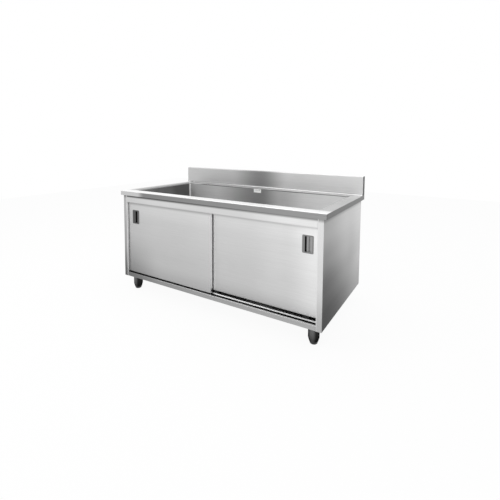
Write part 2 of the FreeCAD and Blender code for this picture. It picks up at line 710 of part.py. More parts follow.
def make_trap():
    body = new_body("trap")
    inner = "(trap_radius - trap_wall)"
    neck_high = TRAP_TOP + " + trap_neck_height / 2"
    grip = "(spigot_radius + fold_gap)"
    add_turned(body, [
        (grip, neck_high + " - fold_gap"),
        ("trap_neck", neck_high + " - fold_gap"),
        ("trap_neck", TRAP_TOP),
        ("trap_radius", TRAP_TOP),
        ("trap_radius", TRAP_LOW),
        (inner, TRAP_LOW),
        (inner, TRAP_TOP + " - trap_wall"),
        (grip, TRAP_TOP + " - trap_wall"),
    ])
    socket = new_sketch(body, "XZ_Plane", "(-trap_radius - outlet_socket)")
    add_circle(socket, "0", OUTLET_Z, "outlet_radius + outlet_clear + trap_wall")
    add_pad(body, socket, "outlet_socket + trap_wall")
    mouth = new_sketch(body, "XZ_Plane", "(-trap_radius - outlet_socket)")
    add_circle(mouth, "0", OUTLET_Z, "outlet_radius + outlet_clear")
    add_pocket(body, mouth, "outlet_socket + trap_wall + sheet", flip=True)
    set_place(body, "0", DRAIN_Y, "0")
    keep(body, "trap_body")

    cup = new_body("trap_cup")
    high = TRAP_LOW
    low = "(%s - trap_cup_height)" % TRAP_LOW
    add_turned(cup, [
        ("0", low),
        ("trap_cup_radius - trap_wall", low),
        ("trap_cup_radius", low + " + trap_wall"),
        ("trap_cup_radius", high),
        (inner, high),
        (inner, low + " + trap_wall"),
        ("0", low + " + trap_wall"),
    ])
    rib = new_sketch(cup, "XY_Plane", low + " + 2 * trap_wall")
    add_rectangle(rib, "trap_cup_radius - trap_wall / 2", "trap_cup_radius + trap_rib",
                  "-trap_rib / 2", "trap_rib / 2")
    add_polar(cup, add_pad(cup, rib, "trap_cup_height - 3 * trap_wall"), "trap_ribs")
    set_place(cup, "0", DRAIN_Y, "0")
    keep(cup, "trap_cup")

    start = "(%s + trap_radius + sheet)" % DRAIN_Y
    length = "%s - outlet_inset - %s" % (REAR, start)
    pipe = rod("outlet_outside", "Y", "outlet_radius", length, ("0", start, OUTLET_Z))
    bead_start = "%s - outlet_inset - outlet_spigot - outlet_bead" % REAR
    bead = rod("outlet_stop_bead", "Y", "outlet_radius + outlet_bead", "outlet_bead",
               ("0", bead_start, OUTLET_Z))
    bore = rod("outlet_bore", "Y", "outlet_radius - outlet_wall", length + " + 2",
               ("0", start + " - 1", OUTLET_Z))
    keep(cut("outlet_pipe", fuse("outlet_tube", [pipe, bead]), bore), "outlet_pipe")


def make_overflow():
    cover = new_body("overflow_cover")
    face = new_sketch(cover, "XZ_Plane", negative(BOWL_REAR))
    left = "overflow_x - overflow_width / 2"
    right = "overflow_x + overflow_width / 2"
    low = OVERFLOW_Z + " - overflow_height / 2"
    high = OVERFLOW_Z + " + overflow_height / 2"
    add_rectangle(face, left, right, low, high)
    add_pad(cover, face, "overflow_thick")
    slot = new_sketch(cover, "XZ_Plane", negative(BOWL_REAR))
    first = "overflow_x - overflow_pitch * (overflow_slots - 1) / 2"
    slot_z = COLLAR_LOW + " - sheet - overflow_slot_height"
    add_rectangle(slot, first + " - overflow_slot_width / 2", first + " + overflow_slot_width / 2",
                  slot_z + " - overflow_slot_height", slot_z)
    cut_slot = add_pocket(cover, slot, "2 * overflow_thick", flip=True)
    along = [item for item in cover.Origin.OriginFeatures if item.Role == "X_Axis"][0]
    row = cover.newObject("PartDesign::LinearPattern", "overflow_slot_row")
    row.Originals = [cut_slot]
    row.Direction = (along, [""])
    set_sizes(row, Length="overflow_pitch * (overflow_slots - 1)", Occurrences="overflow_slots")
    cover.Tip = row
    keep(cover, "overflow_cover")

    # Box welded on the back of the bowl wall, open towards the bowl, with a nipple below.
    wall = "(%s + sheet)" % BOWL_REAR
    box_low = "(%s - rim_collar / 2 - overflow_box_height)" % COLLAR_LOW
    box_high = "(%s - rim_collar / 2 + sheet)" % COLLAR_LOW
    shell = box("overflow_shell", left, right, wall, wall + " + overflow_box_depth", box_low, box_high)
    hollow = box("overflow_hollow", left + " + sheet", right + " - sheet", wall + " - 1",
                 wall + " + overflow_box_depth - sheet", box_low + " + sheet", box_high + " - sheet")
    drop = rod("overflow_drop_hole", "Z", "pipe_radius - pipe_wall", "4 * sheet",
               ("overflow_x", PIPE_Y, box_low + " - sheet"))
    keep(cut("overflow_box", shell, fuse("overflow_inner", [hollow, drop])), "overflow_box")

    pipe = new_body("overflow_pipe")
    path = new_sketch(pipe, "YZ_Plane", "overflow_x")
    # The path is first drawn roughly, a straight drop, a bend and a level run; its constraints then place it.
    turn = SIZES["pipe_bend"]
    drop_y = SIZES["unit_depth"] / 3
    run_z = SIZES["worktop_height"] / 2
    path.addGeometry([
        Part.LineSegment(FreeCAD.Vector(drop_y, 2 * run_z, 0), FreeCAD.Vector(drop_y, run_z + turn, 0)),
        Part.ArcOfCircle(Part.Circle(FreeCAD.Vector(drop_y - turn, run_z + turn, 0),
                                     FreeCAD.Vector(0, 0, 1), turn),
                         1.5 * math.pi, 2 * math.pi),
        Part.LineSegment(FreeCAD.Vector(drop_y - turn, run_z, 0), FreeCAD.Vector(turn, run_z, 0)),
    ], False)
    path.addConstraint([
        Sketcher.Constraint("Tangent", 0, 2, 1, 2),
        Sketcher.Constraint("Tangent", 1, 1, 2, 1),
        Sketcher.Constraint("Vertical", 0),
        Sketcher.Constraint("Horizontal", 2),
    ])
    place_point(path, 0, 1, PIPE_Y, box_low)
    place_point(path, 2, 2, DRAIN_Y + " + drain_hole / 2", PIPE_Z)
    bend = path.addConstraint(Sketcher.Constraint("Radius", 1, turn))
    path.setExpression("Constraints[%d]" % bend, bind("pipe_bend"))
    ring = new_sketch(pipe, "XY_Plane", box_low)
    add_circle(ring, "overflow_x", PIPE_Y, "pipe_radius")
    add_circle(ring, "overflow_x", PIPE_Y, "pipe_radius - pipe_wall")
    tube = pipe.newObject("PartDesign::AdditivePipe", "overflow_tube")
    tube.Profile = ring
    tube.Spine = path
    # The pipe's end follows the round side of the waste cup.
    trim = new_sketch(pipe, "XY_Plane", PIPE_Z + " + 2 * pipe_radius")
    add_circle(trim, "0", DRAIN_Y, "drain_hole - drain_gap + fold_gap")
    add_pocket(pipe, trim, "4 * pipe_radius")
    keep(pipe, "overflow_pipe")


def make_basket():
    """Lift-out strainer basket that hangs by its rim on the waste flange."""
    body = new_body("basket")
    rim = "(%s + flange_thick + lift_gap)" % PLATEAU
    low = "(%s - basket_depth)" % rim
    knob = "(%s + basket_wall + knob_height)" % rim
    add_turned(body, [
        ("0", low),
        ("basket_radius", low),
        ("basket_radius", rim),
        ("basket_rim", rim),
        ("basket_rim", rim + " + basket_wall"),
        ("basket_radius - basket_wall", rim + " + basket_wall"),
        ("basket_radius - basket_wall", low + " + basket_wall"),
        ("knob_stem", low + " + basket_wall"),
        ("knob_stem", rim),
        ("knob_radius", rim + " + basket_wall"),
        ("knob_radius", knob),
        ("0", knob),
    ])
    slot = new_sketch(body, "XY_Plane", low + " + 2 * basket_wall + basket_slot_height")
    add_rectangle(slot, "basket_radius - 3 * basket_wall", "basket_radius + basket_wall",
                  "-basket_slot_width / 2", "basket_slot_width / 2")
    add_polar(body, add_pocket(body, slot, "basket_slot_height"), "basket_slots")
    set_place(body, "0", DRAIN_Y, "0")
    keep(body, "strainer_basket")


# Cabinet

def make_side_panel(side, word):
    """One sheet folded into the front stile, its inner return, the side and a rear flange."""
    body = new_body("side_panel_" + word)
    face = lambda text: signed(side, "(%s)" % text)
    section = new_sketch(body, "XY_Plane", "leg_height")
    add_outline(section, [
        (face(OPENING_X), STILE_BACK),
        (face(OPENING_X), CASE_FRONT),
        (face(CASE_X), CASE_FRONT),
        (face(CASE_X), CASE_REAR),
        (face(CASE_X + " - rear_fold"), CASE_REAR),
        (face(CASE_X + " - rear_fold"), CASE_REAR + " - sheet"),
        (face(CASE_INNER), CASE_REAR + " - sheet"),
        (face(CASE_INNER), CASE_FRONT + " + sheet"),
        (face(OPENING_X + " + sheet"), CASE_FRONT + " + sheet"),
        (face(OPENING_X + " + sheet"), STILE_BACK),
    ])
    add_pad(body, section, "%s - leg_height" % DECK_LOW)
    doc.recompute()
    bounds = body.Shape.BoundBox

    def folded_edge(edge):
        spot = middle(edge)
        outer = near(spot.y, bounds.YMin) or near(spot.y, bounds.YMax)
        return runs_along(edge, 2) and outer

    rear_end = value(CASE_X + " - rear_fold")
    add_fillet(body, "edge_bend", lambda edge: folded_edge(edge)
               and not near(abs(middle(edge).x), rear_end))
    keep(body, "side_panel_" + word)


def make_front_rails():
    head = new_body("head_rail")
    section = new_sketch(head, "YZ_Plane", negative(OPENING_X))
    add_outline(section, [
        (CASE_FRONT + " + head_flange", DECK_LOW),
        (CASE_FRONT, DECK_LOW),
        (CASE_FRONT, HEAD_LOW),
        (CASE_FRONT + " + head_return", HEAD_LOW),
        (CASE_FRONT + " + head_return", HEAD_LOW + " + sheet"),
        (CASE_FRONT + " + sheet", HEAD_LOW + " + sheet"),
        (CASE_FRONT + " + sheet", DECK_LOW + " - sheet"),
        (CASE_FRONT + " + head_flange", DECK_LOW + " - sheet"),
    ])
    add_pad(head, section, "2 * " + OPENING_X)
    doc.recompute()
    bounds = head.Shape.BoundBox
    add_fillet(head, "edge_bend", lambda edge: runs_along(edge, 0)
               and near(middle(edge).y, bounds.YMin) and near(middle(edge).z, bounds.ZMin))
    keep(head, "head_rail")

    base = new_body("base_rail")
    section = new_sketch(base, "YZ_Plane", negative(OPENING_X))
    add_outline(section, [
        (CASE_FRONT + " + rail_return", "leg_height"),
        (CASE_FRONT, "leg_height"),
        (CASE_FRONT, TRACK_TOP),
        (CASE_FRONT + " + rail_ledge", TRACK_TOP),
        (CASE_FRONT + " + rail_ledge", TRACK_TOP + " - sheet"),
        (CASE_FRONT + " + sheet", TRACK_TOP + " - sheet"),
        (CASE_FRONT + " + sheet", "leg_height + sheet"),
        (CASE_FRONT + " + rail_return", "leg_height + sheet"),
    ])
    add_pad(base, section, "2 * " + OPENING_X)
    doc.recompute()
    low_front = base.Shape.BoundBox.YMin
    add_fillet(base, "edge_bend", lambda edge: runs_along(edge, 0) and near(middle(edge).y, low_front))
    keep(base, "base_rail")


def shelf_corners(inset):
    """Outline of the base shelf, notched round the two side folds, drawn in by an inset."""
    narrow = "(%s - %s)" % (OPENING_X, inset)
    wide = "(%s - %s)" % (CASE_INNER, inset)
    front = "%s + sheet + %s" % (CASE_FRONT, inset)
    notch = "%s + fold_gap + %s" % (STILE_BACK, inset)
    rear = "%s - sheet - %s" % (CASE_REAR, inset)
    return [
        (negative(narrow), front),
        (narrow, front),
        (narrow, notch),
        (wide, notch),
        (wide, rear),
        (negative(wide), rear),
        (negative(wide), notch),
        (negative(narrow), notch),
    ]


def make_base_shelf():
    body = new_body("base_shelf")
    outline = new_sketch(body, "XY_Plane", BASE_LOW)
    add_outline(outline, shelf_corners("0"))
    add_pad(body, outline, "%s - %s" % (SHELF_TOP, BASE_LOW))
    hollow = new_sketch(body, "XY_Plane", SHELF_UNDER)
    add_outline(hollow, shelf_corners("sheet"))
    add_pocket(body, hollow, "%s - %s" % (SHELF_UNDER, BASE_LOW))
    keep(body, "base_shelf")


def bolt_spots(centre, along_y):
    """The four bolts round the middle of one leg."""
    spots = []
    for step_x in (-1, 1):
        for step_y in (-1, 1):
            spots.append(("%s + %d * bolt_offset" % (centre, step_x),
                          "%s + %d * bolt_offset" % (along_y, step_y)))
    return spots


def make_channel(end_word, leg_x, along_y):
    """Channel under the base shelf that carries the front or the rear pair of legs."""
    body = new_body("base_channel_" + end_word)
    half = "channel_width / 2"
    end = "(%s - 2 * sheet - fold_gap)" % OPENING_X
    section = new_sketch(body, "YZ_Plane", negative(end))
    add_outline(section, [
        ("%s - %s" % (along_y, half), BASE_LOW),
        ("%s + %s" % (along_y, half), BASE_LOW),
        ("%s + %s" % (along_y, half), SHELF_UNDER),
        ("%s + %s - channel_lip" % (along_y, half), SHELF_UNDER),
        ("%s + %s - channel_lip" % (along_y, half), SHELF_UNDER + " - sheet"),
        ("%s + %s - sheet" % (along_y, half), SHELF_UNDER + " - sheet"),
        ("%s + %s - sheet" % (along_y, half), BASE_LOW + " + sheet"),
        ("%s - %s + sheet" % (along_y, half), BASE_LOW + " + sheet"),
        ("%s - %s + sheet" % (along_y, half), SHELF_UNDER + " - sheet"),
        ("%s - %s + channel_lip" % (along_y, half), SHELF_UNDER + " - sheet"),
        ("%s - %s + channel_lip" % (along_y, half), SHELF_UNDER),
        ("%s - %s" % (along_y, half), SHELF_UNDER),
    ])
    add_pad(body, section, "2 * " + end)
    holes = new_sketch(body, "XY_Plane", BASE_LOW + " + 2 * sheet")
    for side in (-1, 1):
        for spot in bolt_spots(signed(side, leg_x), along_y):
            add_circle(holes, spot[0], spot[1], "bolt_hole")
    add_pocket(body, holes, "3 * sheet")
    keep(body, "base_channel_" + end_word)


def make_rear_panel():
    body = new_body("rear_panel")
    rear = "(%s - sheet)" % CASE_REAR
    section = new_sketch(body, "YZ_Plane", negative(CASE_INNER))
    add_outline(section, [
        (rear, SHELF_TOP),
        (rear, DECK_LOW),
        (rear + " - panel_flange", DECK_LOW),
        (rear + " - panel_flange", DECK_LOW + " - sheet"),
        (rear + " - sheet", DECK_LOW + " - sheet"),
        (rear + " - sheet", SHELF_TOP + " + sheet"),
        (rear + " - panel_flange", SHELF_TOP + " + sheet"),
        (rear + " - panel_flange", SHELF_TOP),
    ])
    add_pad(body, section, "2 * " + CASE_INNER)
    # The sheet is folded back on itself round the service opening.
    hem = new_sketch(body, "XZ_Plane", negative("(%s - sheet)" % rear))
    add_rectangle(hem, "(-service_width / 2 - service_hem)", "service_width / 2 + service_hem",
                  OUTLET_Z + " - service_height / 2 - service_hem",
                  OUTLET_Z + " + service_height / 2 + service_hem")
    add_pad(body, hem, "sheet")
    opening = new_sketch(body, "XZ_Plane", negative(rear))
    add_rectangle(opening, "(-service_width / 2)", "service_width / 2",
                  OUTLET_Z + " - service_height / 2", OUTLET_Z + " + service_height / 2")
    add_pocket_forward(body, opening, "3 * sheet")
    keep(body, "rear_panel")


# Door tracks

def make_tracks():
    low = new_body("bottom_track")
    half = "groove_width / 2"
    bed = SHELF_TOP + " + track_floor"
    ridge_front = LANE_FRONT + " + (lane_pitch - ridge_width) / 2"
    ridge_rear = LANE_FRONT + " + (lane_pitch + ridge_width) / 2"
    ridge_top = TRACK_TOP + " + ridge_height"
    section = new_sketch(low, "YZ_Plane", negative(OPENING_X))
    add_outline(section, [
        ("%s - %s - track_lip" % (LANE_FRONT, half), SHELF_TOP),
        (LANE_REAR + " + track_margin", SHELF_TOP),
        (LANE_REAR + " + track_margin", TRACK_TOP),
        ("%s + %s" % (LANE_REAR, half), TRACK_TOP),
        ("%s + %s" % (LANE_REAR, half), bed),
        ("%s - %s" % (LANE_REAR, half), bed),
        ("%s - %s" % (LANE_REAR, half), TRACK_TOP),
        (ridge_rear, TRACK_TOP),
        (ridge_rear, ridge_top),
        (ridge_front, ridge_top),
        (ridge_front, TRACK_TOP),
        ("%s + %s" % (LANE_FRONT, half), TRACK_TOP),
        ("%s + %s" % (LANE_FRONT, half), bed),
        ("%s - %s" % (LANE_FRONT, half), bed),
        ("%s - %s" % (LANE_FRONT, half), TRACK_TOP),
        ("%s - %s - track_lip" % (LANE_FRONT, half), TRACK_TOP),
    ])
    add_pad(low, section, "2 * " + OPENING_X)
    keep(low, "bottom_track")

    high = new_body("top_track")
    section = new_sketch(high, "YZ_Plane", negative(OPENING_X))
    front = "%s - rail_front"
    hook = "%s + rail_rear"
    under = RAIL_LEDGE + " - rail_sheet"
    add_outline(section, [
        (front % LANE_FRONT, RAIL_TOP),
        (front % LANE_REAR + " + rail_sheet", RAIL_TOP),
        (front % LANE_REAR + " + rail_sheet", RAIL_LEDGE),
        (hook % LANE_REAR + " - rail_sheet", RAIL_LEDGE),
        (hook % LANE_REAR + " - rail_sheet", RAIL_LEDGE + " + rail_lip"),
        (hook % LANE_REAR, RAIL_LEDGE + " + rail_lip"),
        (hook % LANE_REAR, under),
        (front % LANE_REAR, under),
        (front % LANE_REAR, RAIL_TOP + " - rail_sheet"),
        (front % LANE_FRONT + " + rail_sheet", RAIL_TOP + " - rail_sheet"),
        (front % LANE_FRONT + " + rail_sheet", RAIL_LEDGE),
        (hook % LANE_FRONT + " - rail_sheet", RAIL_LEDGE),
        (hook % LANE_FRONT + " - rail_sheet", RAIL_LEDGE + " + rail_lip"),
        (hook % LANE_FRONT, RAIL_LEDGE + " + rail_lip"),
        (hook % LANE_FRONT, under),
        (front % LANE_FRONT, under),
    ])
    add_pad(high, section, "2 * " + OPENING_X)
    keep(high, "top_track")

    # Rubber buffers on both side folds, one in each lane.
    buffers = []
    middle_z = "(%s - buffer_drop)" % DOOR_TOP
    length = "(door_edge_gap - fold_gap)"
    for lane, lane_word in ((LANE_FRONT, "front"), (LANE_REAR, "rear")):
        left = (negative(OPENING_X), lane, middle_z)
        right = ("(%s - %s)" % (OPENING_X, length), lane, middle_z)
        buffers.append(rod("buffer_left_" + lane_word, "X", "buffer_radius", length, left))
        buffers.append(rod("buffer_right_" + lane_word, "X", "buffer_radius", length, right))
    keep(group("door_buffers", buffers), "door_buffers")


# Doors

def make_door(side, word, lane, low):
    """A double-skinned door; side is -1 for the left door and 1 for the right one."""
    outer = DOOR_EDGE
    inner = "(-door_overlap / 2)"
    if side > 0:
        left, right = inner, outer
    else:
        left, right = negative(outer), negative(inner)
    rear = "(%s + door_thick / 2)" % lane
    face = "(%s - door_thick / 2)" % lane
    inset = "right_pull_inset" if side > 0 else "left_pull_inset"
    pull_x = signed(side, "(%s - %s)" % (DOOR_EDGE, inset))

    skin = new_body("door_skin_" + word)
    outline = new_sketch(skin, "XZ_Plane", negative(rear))
    add_rectangle(outline, left, right, low, DOOR_TOP)
    add_pad(skin, outline, "door_thick")
    doc.recompute()
    front = skin.Shape.BoundBox.YMin
    add_fillet(skin, "door_bend", lambda edge: near(middle(edge).y, front)
               and near(edge.BoundBox.YLength, 0))
    hollow = new_sketch(skin, "XZ_Plane", negative(rear))
    add_rectangle(hollow, left + " + door_sheet", right + " - door_sheet",
                  low + " + door_sheet", DOOR_TOP + " - door_sheet")
    add_pocket_forward(skin, hollow, "door_thick - door_sheet")
    window = new_sketch(skin, "XZ_Plane", negative(rear))
    wide = "(pull_width / 2 - pull_edge + pull_sheet + pull_clear)"
    tall = "(pull_height / 2 - pull_end + pull_sheet + pull_clear)"
    add_rectangle(window, "%s - %s" % (pull_x, wide), "%s + %s" % (pull_x, wide),
                  "%s - %s" % (PULL_Z, tall), "%s + %s" % (PULL_Z, tall))
    add_pocket_forward(skin, window, "door_thick + door_sheet")
    keep(skin, "door_skin_" + word)

    back = new_body("door_back_" + word)
    outline = new_sketch(back, "XZ_Plane", negative(rear))
    add_rectangle(outline, left + " + door_sheet", right + " - door_sheet",
                  low + " + door_sheet", DOOR_TOP + " - door_sheet")
    add_pad(back, outline, "back_flange")
    hollow = new_sketch(back, "XZ_Plane", "-(%s - door_sheet)" % rear)
    add_rectangle(hollow, left + " + 2 * door_sheet", right + " - 2 * door_sheet",
                  low + " + 2 * door_sheet", DOOR_TOP + " - 2 * door_sheet")
    add_pocket_forward(back, hollow, "back_flange")
    keep(back, "door_back_" + word)

    make_pull(side, word, pull_x, face)
    make_hangers(word, left, right, lane)
    make_guides(word, left, right, lane, low)


def make_pull(side, word, pull_x, face):
    """Flush pull: a flange, and a hollow that deepens towards an undercut finger edge."""
    body = new_body("pull_" + word)
    half = "pull_width / 2"
    # The finger edge looks towards the middle of the unit, the way that the door is pushed.
    across = lambda text: "%s %s (%s)" % (pull_x, "-" if side > 0 else "+", text)
    front = "(%s - pull_sheet)" % face
    flange = new_sketch(body, "XZ_Plane", negative(face))
    add_rectangle(flange, "%s - %s" % (pull_x, half), "%s + %s" % (pull_x, half),
                  PULL_Z + " - pull_height / 2", PULL_Z + " + pull_height / 2")
    add_pad(body, flange, "pull_sheet")
    add_fillet(body, "pull_corner", lambda edge: runs_along(edge, 1))

    shallow = "pull_edge - " + half
    lip = half + " - pull_lip"
    deep = half + " - pull_lip + pull_undercut"
    cup = new_sketch(body, "XY_Plane", PULL_Z + " - pull_height / 2 + pull_end - pull_sheet")
    add_outline(cup, [
        (across(shallow + " - pull_sheet"), face),
        (across(deep + " + pull_sheet"), face),
        (across(deep + " + pull_sheet"), face + " + pull_depth + pull_sheet"),
        (across("0"), face + " + pull_depth + pull_sheet"),
        (across(shallow + " - pull_sheet"), face + " + pull_sheet"),
    ])
    add_pad(body, cup, "pull_height - 2 * pull_end + 2 * pull_sheet")
    hollow = new_sketch(body, "XY_Plane", PULL_Z + " - pull_height / 2 + pull_end")
    add_outline(hollow, [
        (across(shallow), front + " - 1"),
        (across(lip), front + " - 1"),
        (across(lip), face + " + pull_sheet"),
        (across(deep), face + " + pull_sheet"),
        (across(deep), face + " + pull_depth"),
        (across("0"), face + " + pull_depth"),
        (across(shallow), face),
    ])
    add_pocket(body, hollow, "pull_height - 2 * pull_end", flip=True)
    keep(body, "pull_" + word)


def make_hangers(word, left, right, lane):
    """Two angle brackets on the top edge of a door, each with the axle of its roller."""
    hangers = []
    plate_front = "(%s + door_thick / 2 - fold_gap - hanger_thick)" % lane
    plate_rear = "(%s + door_thick / 2 - fold_gap)" % lane
    for spot, middle_x in hanger_spots(left, right):
        name = "hanger_%s_%s" % (word, spot)
        low_x = "%s - hanger_width / 2" % middle_x
        high_x = "%s + hanger_width / 2" % middle_x
        foot = box(name + "_foot", low_x, high_x, plate_rear + " - hanger_foot", plate_rear,
                   DOOR_TOP, DOOR_TOP + " + hanger_thick")
        plate = box(name + "_plate", low_x, high_x, plate_front, plate_rear,
                    DOOR_TOP, AXLE_Z + " + hanger_head")
        wheel_rear = "(%s + roller_width / 2)" % wheel_middle(lane)
        collar = rod(name + "_collar", "Y", "roller_hub", "%s - %s - running_gap" % (plate_front, wheel_rear),
                     (middle_x, wheel_rear + " + running_gap", AXLE_Z))
        start = "(%s - roller_width / 2 - running_gap - hanger_thick / 2)" % wheel_middle(lane)
        axle = rod(name + "_axle", "Y", "axle_radius", "%s - %s" % (plate_front, start),
                   (middle_x, start, AXLE_Z))
        head = rod(name + "_head", "Y", "roller_hub", "hanger_thick / 2", (middle_x, start, AXLE_Z))
        hangers.append(fuse(name, [foot, plate, collar, axle, head]))
    keep(group("hangers_" + word, hangers), "door_hangers_" + word)


def wheel_middle(lane):
    """The roller runs midway between the web and the lip of its ledge."""
    return "(%s + (rail_rear - rail_front) / 2)" % lane


def hanger_spots(left, right):
    return (("left", "(%s + hanger_inset)" % left), ("right", "(%s - hanger_inset)" % right))


def make_guides(word, left, right, lane, low):
    blocks = []
    for spot, middle_x in (("left", "(%s + guide_inset)" % left), ("right", "(%s - guide_inset)" % right)):
        blocks.append(box("guide_%s_%s" % (word, spot), "%s - guide_length / 2" % middle_x,
                          "%s + guide_length / 2" % middle_x, "%s - guide_width / 2" % lane,
                          "%s + guide_width / 2" % lane, TRACK_TOP + " - guide_dip", low))
    keep(group("guides_" + word, blocks), "door_guides_" + word)


def make_rollers(word, left, right, lane):
    """Rollers turning on the hanger axles."""
    for spot, middle_x in hanger_spots(left, right):
        body = new_body("roller_%s_%s" % (word, spot))
        half = "roller_width / 2"
        bore = "(axle_radius + axle_gap)"
        add_turned(body, [
            (bore, "-" + half),
            ("roller_radius - roller_bevel", "-" + half),
            ("roller_radius", "roller_bevel - " + half),
            ("roller_radius", half + " - roller_bevel"),
            ("roller_radius - roller_bevel", half),
            (bore, half),
        ], "XY_Plane")
        set_place(body, middle_x, wheel_middle(lane), AXLE_Z)
        keep(body, "roller_%s_door_%s" % (word, spot))


# Legs

def make_leg(name, centre, along_y):

    plate = new_body("leg_plate_" + name)
    outline = new_sketch(plate, "XY_Plane", "leg_height")
    add_rectangle(outline, centre + " - leg_plate_half", centre + " + leg_plate_half",
                  along_y + " - leg_plate_half", along_y + " + leg_plate_half")
    for spot in bolt_spots(centre, along_y):
        add_circle(outline, spot[0], spot[1], "bolt_hole")
    add_pad(plate, outline, "plate_thick")
    keep(plate, "leg_plate_" + name)

    leg = new_body("leg_" + name)
    bore = "(stem_radius + stem_gap)"
    boss_top = "(leg_tip_low + leg_boss)"
    add_turned(leg, [
        ("0", "leg_height"),
        ("leg_radius", "leg_height"),
        ("leg_radius", "leg_cone_top"),
        ("leg_tip_radius", "leg_tip_low"),
        (bore, "leg_tip_low"),
        (bore, boss_top),
        ("leg_tip_radius - leg_wall", boss_top),
        ("leg_radius - leg_wall", "leg_cone_top + leg_wall"),
        ("leg_radius - leg_wall", "leg_height - leg_wall"),
        ("0", "leg_height - leg_wall"),
    ])
    set_place(leg, centre, along_y, "0")
    keep(leg, "leg_" + name)

    foot = new_body("foot_" + name)
    seat = "(leg_tip_low - lift_gap)"
    add_turned(foot, [
        ("0", "0"),
        ("foot_radius - foot_bevel", "0"),
        ("foot_radius", "foot_bevel"),
        ("foot_shoulder", seat),
        ("stem_radius", seat),
        ("stem_radius", seat + " + stem_length"),
        ("0", seat + " + stem_length"),
    ])
    set_place(foot, centre, along_y, "0")
    keep(foot, "foot_" + name)


def make_bolt(name, along_x, along_y):
    head = doc.addObject("Part::Prism", name + "_head")
    head.Polygon = 6
    set_sizes(head, Circumradius="bolt_head", Height="bolt_head_height")
    set_place(head, along_x, along_y, "leg_height - bolt_head_height")
    shank = rod(name + "_shank", "Z", "bolt_radius", "plate_thick + sheet + bolt_end",
                (along_x, along_y, "leg_height"))
    return fuse(name, [head, shank])


def make_legs():
    """Front and rear pair of legs, and the bolts that hold them under the two channels."""
    bolts = []
    for end_word, leg_x, along_y in (("front", FRONT_LEG_X, LEG_FRONT), ("rear", REAR_LEG_X, LEG_REAR)):
        for side, word in ((-1, "left"), (1, "right")):
            centre = signed(side, leg_x)
            make_leg("%s_%s" % (end_word, word), centre, along_y)
            for spot in bolt_spots(centre, along_y):
                bolts.append(make_bolt("leg_bolt_%d" % (len(bolts) + 1), spot[0], spot[1]))
    keep(group("leg_bolts", bolts), "leg_bolts")


doc.recompute()
make_worktop()
make_upstand()
make_bowl()
make_bearer("bowl_bearer_front", "(%s + bearer_inset)" % BOWL_FRONT)
make_bearer("bowl_bearer_rear", "(%s - bearer_inset)" % BOWL_REAR)
make_waste()
make_trap()
make_overflow()
make_basket()
for hand, hand_word in ((-1, "left"), (1, "right")):
    make_side_panel(hand, hand_word)
make_front_rails()
make_base_shelf()
make_channel("front", FRONT_LEG_X, LEG_FRONT)
make_channel("rear", REAR_LEG_X, LEG_REAR)
make_rear_panel()
make_tracks()
make_door(-1, "left", LANE_FRONT, FRONT_DOOR_LOW)
make_door(1, "right", LANE_REAR, REAR_DOOR_LOW)
make_rollers("left", negative(DOOR_EDGE), "(door_overlap / 2)", LANE_FRONT)
make_rollers("right", "(-door_overlap / 2)", DOOR_EDGE, LANE_REAR)
make_legs()
doc.recompute()

for thing in doc.Objects:
    if "Invalid" in thing.State or "Error" in thing.State:
        raise RuntimeError("%s did not build: %s" % (thing.Name, thing.State))

os.makedirs("parts", exist_ok=True)
for thing in parts:
    shape = thing.Shape
    if shape.isNull() or not shape.isValid() or not shape.Solids:
        raise RuntimeError("%s has no sound shape" % thing.Label)
for thing in parts:
    thing.Shape.exportStep("parts/%s.step" % thing.Label)
print("%d sub-parts" % len(parts))
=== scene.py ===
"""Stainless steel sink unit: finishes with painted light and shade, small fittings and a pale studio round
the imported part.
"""

import json
import math

import bpy
from mathutils import Matrix, Vector


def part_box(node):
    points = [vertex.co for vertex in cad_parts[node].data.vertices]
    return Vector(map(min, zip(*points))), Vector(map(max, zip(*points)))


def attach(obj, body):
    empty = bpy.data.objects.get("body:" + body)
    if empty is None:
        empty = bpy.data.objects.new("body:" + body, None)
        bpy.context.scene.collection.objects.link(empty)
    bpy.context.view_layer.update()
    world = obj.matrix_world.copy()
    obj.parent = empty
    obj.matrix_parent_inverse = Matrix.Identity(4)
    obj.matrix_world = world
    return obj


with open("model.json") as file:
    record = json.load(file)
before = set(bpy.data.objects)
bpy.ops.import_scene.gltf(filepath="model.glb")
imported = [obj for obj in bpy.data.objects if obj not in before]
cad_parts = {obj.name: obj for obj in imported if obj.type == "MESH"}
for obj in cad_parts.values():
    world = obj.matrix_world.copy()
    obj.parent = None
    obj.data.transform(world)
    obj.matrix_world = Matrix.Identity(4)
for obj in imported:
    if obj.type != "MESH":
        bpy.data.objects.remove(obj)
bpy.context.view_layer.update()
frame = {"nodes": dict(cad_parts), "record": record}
nodes = frame["nodes"]
scene = bpy.context.scene


# Shader kit

